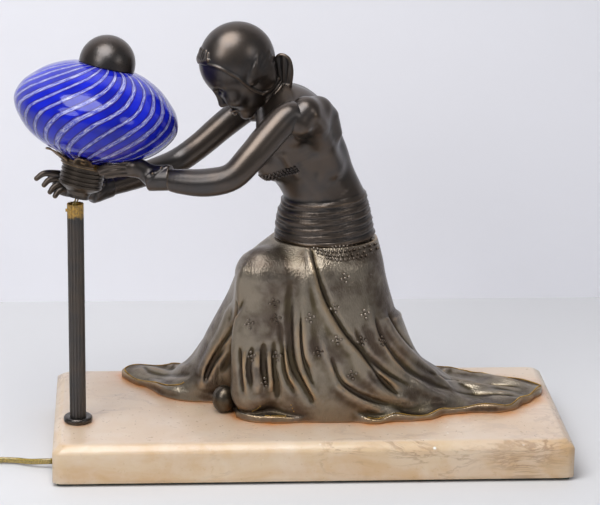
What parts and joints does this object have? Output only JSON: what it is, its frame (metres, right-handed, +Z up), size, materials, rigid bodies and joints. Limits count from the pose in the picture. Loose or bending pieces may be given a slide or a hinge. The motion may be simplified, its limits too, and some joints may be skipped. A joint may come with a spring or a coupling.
{
  "type": "figural table lamp",
  "caption": "Table lamp: a kneeling cast figure on an onyx slab holds up a cup with a leaning striped glass shade, over a reeded post; flex with wheel switch.",
  "frame": {"origin": "centre of the underside of the onyx base, on its felt", "axes": "+X to the right along the base, away from the lamp post; +Y to the back; +Z up. The figure faces -X."},
  "size_m": [0.67, 0.233, 0.4274],
  "materials": {
    "onyx": "polished, veined",
    "felt": "felt",
    "bronze_patina": "rubbed dark brown patina",
    "dark_brass": "dark patina, worn bright at the top",
    "dark_cup": "dark patina",
    "brass": "plain",
    "steel": "zinc plated",
    "striped_glass": "glossy, striped",
    "clear_glass": "clear",
    "porcelain": "glazed",
    "gold_flex": "clear gold",
    "brown_plastic": "moulded"
  },
  "bodies": {
    "lamp": {"base_slab": "onyx", "base_felt": "felt", "cord_grommet": "brown_plastic", "post_foot_ring": "dark_brass", "post_tube": "dark_brass", "post_bush": "brass", "post_set_screw": "brass", "post_pipe": "brass", "post_washer": "steel", "post_nut": "steel", "socket_cup": "dark_cup", "cup_nipple": "brass", "nipple_locknut": "brass", "socket_shell": "brass", "socket_insulator": "porcelain", "socket_sleeve": "brass", "socket_contact": "brass", "shade_gallery": "dark_cup", "shade_glass": "striped_glass", "skirt_casting": "bronze_patina", "shoe_toe": "bronze_patina", "torso_casting": "bronze_patina", "near_arm": "bronze_patina", "near_hand": "bronze_patina", "far_arm": "bronze_patina", "far_hand": "bronze_patina", "head_casting": "bronze_patina", "nape_bow": "bronze_patina", "figure_studs": "steel", "figure_washers": "steel", "figure_nuts": "steel", "inner_lead": "gold_flex", "lead_cores": "gold_flex", "cord_lead": "gold_flex", "cord_link": "gold_flex", "cord_coil": "gold_flex", "cord_tail": "gold_flex", "switch_body": "brown_plastic", "plug_body": "brown_plastic", "plug_blades": "brass"},
    "dome": {"dome_cap": "dark_cup", "dome_collar": "brass"},
    "bulb": {"bulb_glass": "clear_glass", "bulb_cap": "brass", "bulb_tip": "steel"},
    "gallery_screw_1": {"gallery_screw_1": "brass"},
    "gallery_screw_2": {"gallery_screw_2": "brass"},
    "gallery_screw_3": {"gallery_screw_3": "brass"},
    "switch_wheel": {"switch_wheel": "brown_plastic"}
  },
  "joints": [
    {"name": "dome_lift", "type": "slide", "parent": "lamp", "child": "dome", "axis": [0.2234, 0.1188, 0.9675], "range_m": [0, 0.012]},
    {"name": "bulb_turn", "type": "hinge", "parent": "lamp", "child": "bulb", "pos_m": [-0.2178, -0.03744, 0.29502], "axis": [0.2234, 0.1188, 0.9675], "continuous": true},
    {"name": "gallery_screw_1_turn", "type": "hinge", "parent": "lamp", "child": "gallery_screw_1", "pos_m": [-0.20813, -0.05637, 0.29925], "axis": [0.4119, -0.9111, 0.0168], "continuous": true},
    {"name": "gallery_screw_2_turn", "type": "hinge", "parent": "lamp", "child": "gallery_screw_2", "pos_m": [-0.205, -0.01997, 0.29406], "axis": [0.5591, 0.7974, -0.227], "continuous": true},
    {"name": "gallery_screw_3_turn", "type": "hinge", "parent": "lamp", "child": "gallery_screw_3", "pos_m": [-0.23759, -0.03454, 0.30337], "axis": [-0.971, 0.1136, 0.2103], "continuous": true},
    {"name": "switch_wheel_turn", "type": "hinge", "parent": "lamp", "child": "switch_wheel", "pos_m": [-0.353, -0.049, 0.01], "axis": [0, 1, 0], "continuous": true}
  ]
}
